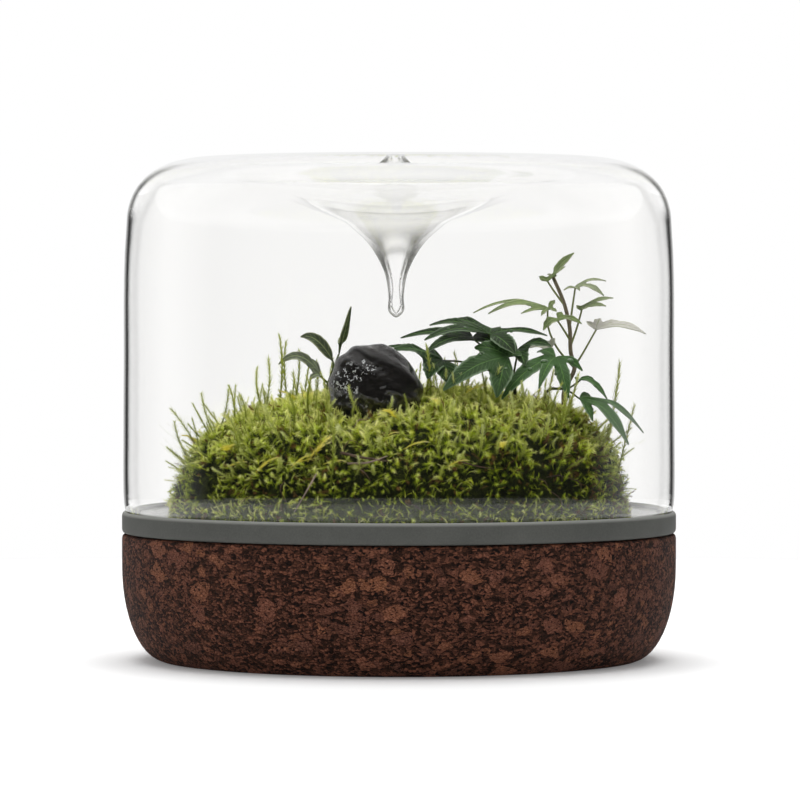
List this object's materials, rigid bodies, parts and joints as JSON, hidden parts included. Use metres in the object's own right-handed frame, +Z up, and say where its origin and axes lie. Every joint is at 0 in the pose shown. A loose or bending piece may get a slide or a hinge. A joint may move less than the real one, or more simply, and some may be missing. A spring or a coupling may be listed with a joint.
{
  "type": "glass plant terrarium",
  "caption": "Closed glass terrarium: a blown cloche with a drip neck in its top over moss, a wet black pebble and ivy, on a dark cork base with a silicone tray.",
  "frame": {"origin": "middle of the cork base's flat underside", "axes": "+Z up along the axis of the cloche, -Y towards the front, where the pebble stands, +X to the right, where the tall ivy stem stands"},
  "size_m": [0.25, 0.25, 0.226],
  "materials": {
    "cork": "matte",
    "silicone": "satin",
    "soil": "matte",
    "moss": "matte",
    "pebble": "gloss",
    "young_ivy": "satin",
    "dark_ivy": "satin",
    "clear_glass": "polished"
  },
  "bodies": {
    "root": {"cork_base": "cork", "silicone_tray": "silicone", "soil": "soil", "moss_carpet": "moss", "pebble": "pebble", "ivy_tall_stem": "young_ivy", "ivy_middle_spray": "dark_ivy", "ivy_low_spray": "dark_ivy", "ivy_left_sprig": "young_ivy", "glass_cloche": "clear_glass"}
  },
  "joints": []
}
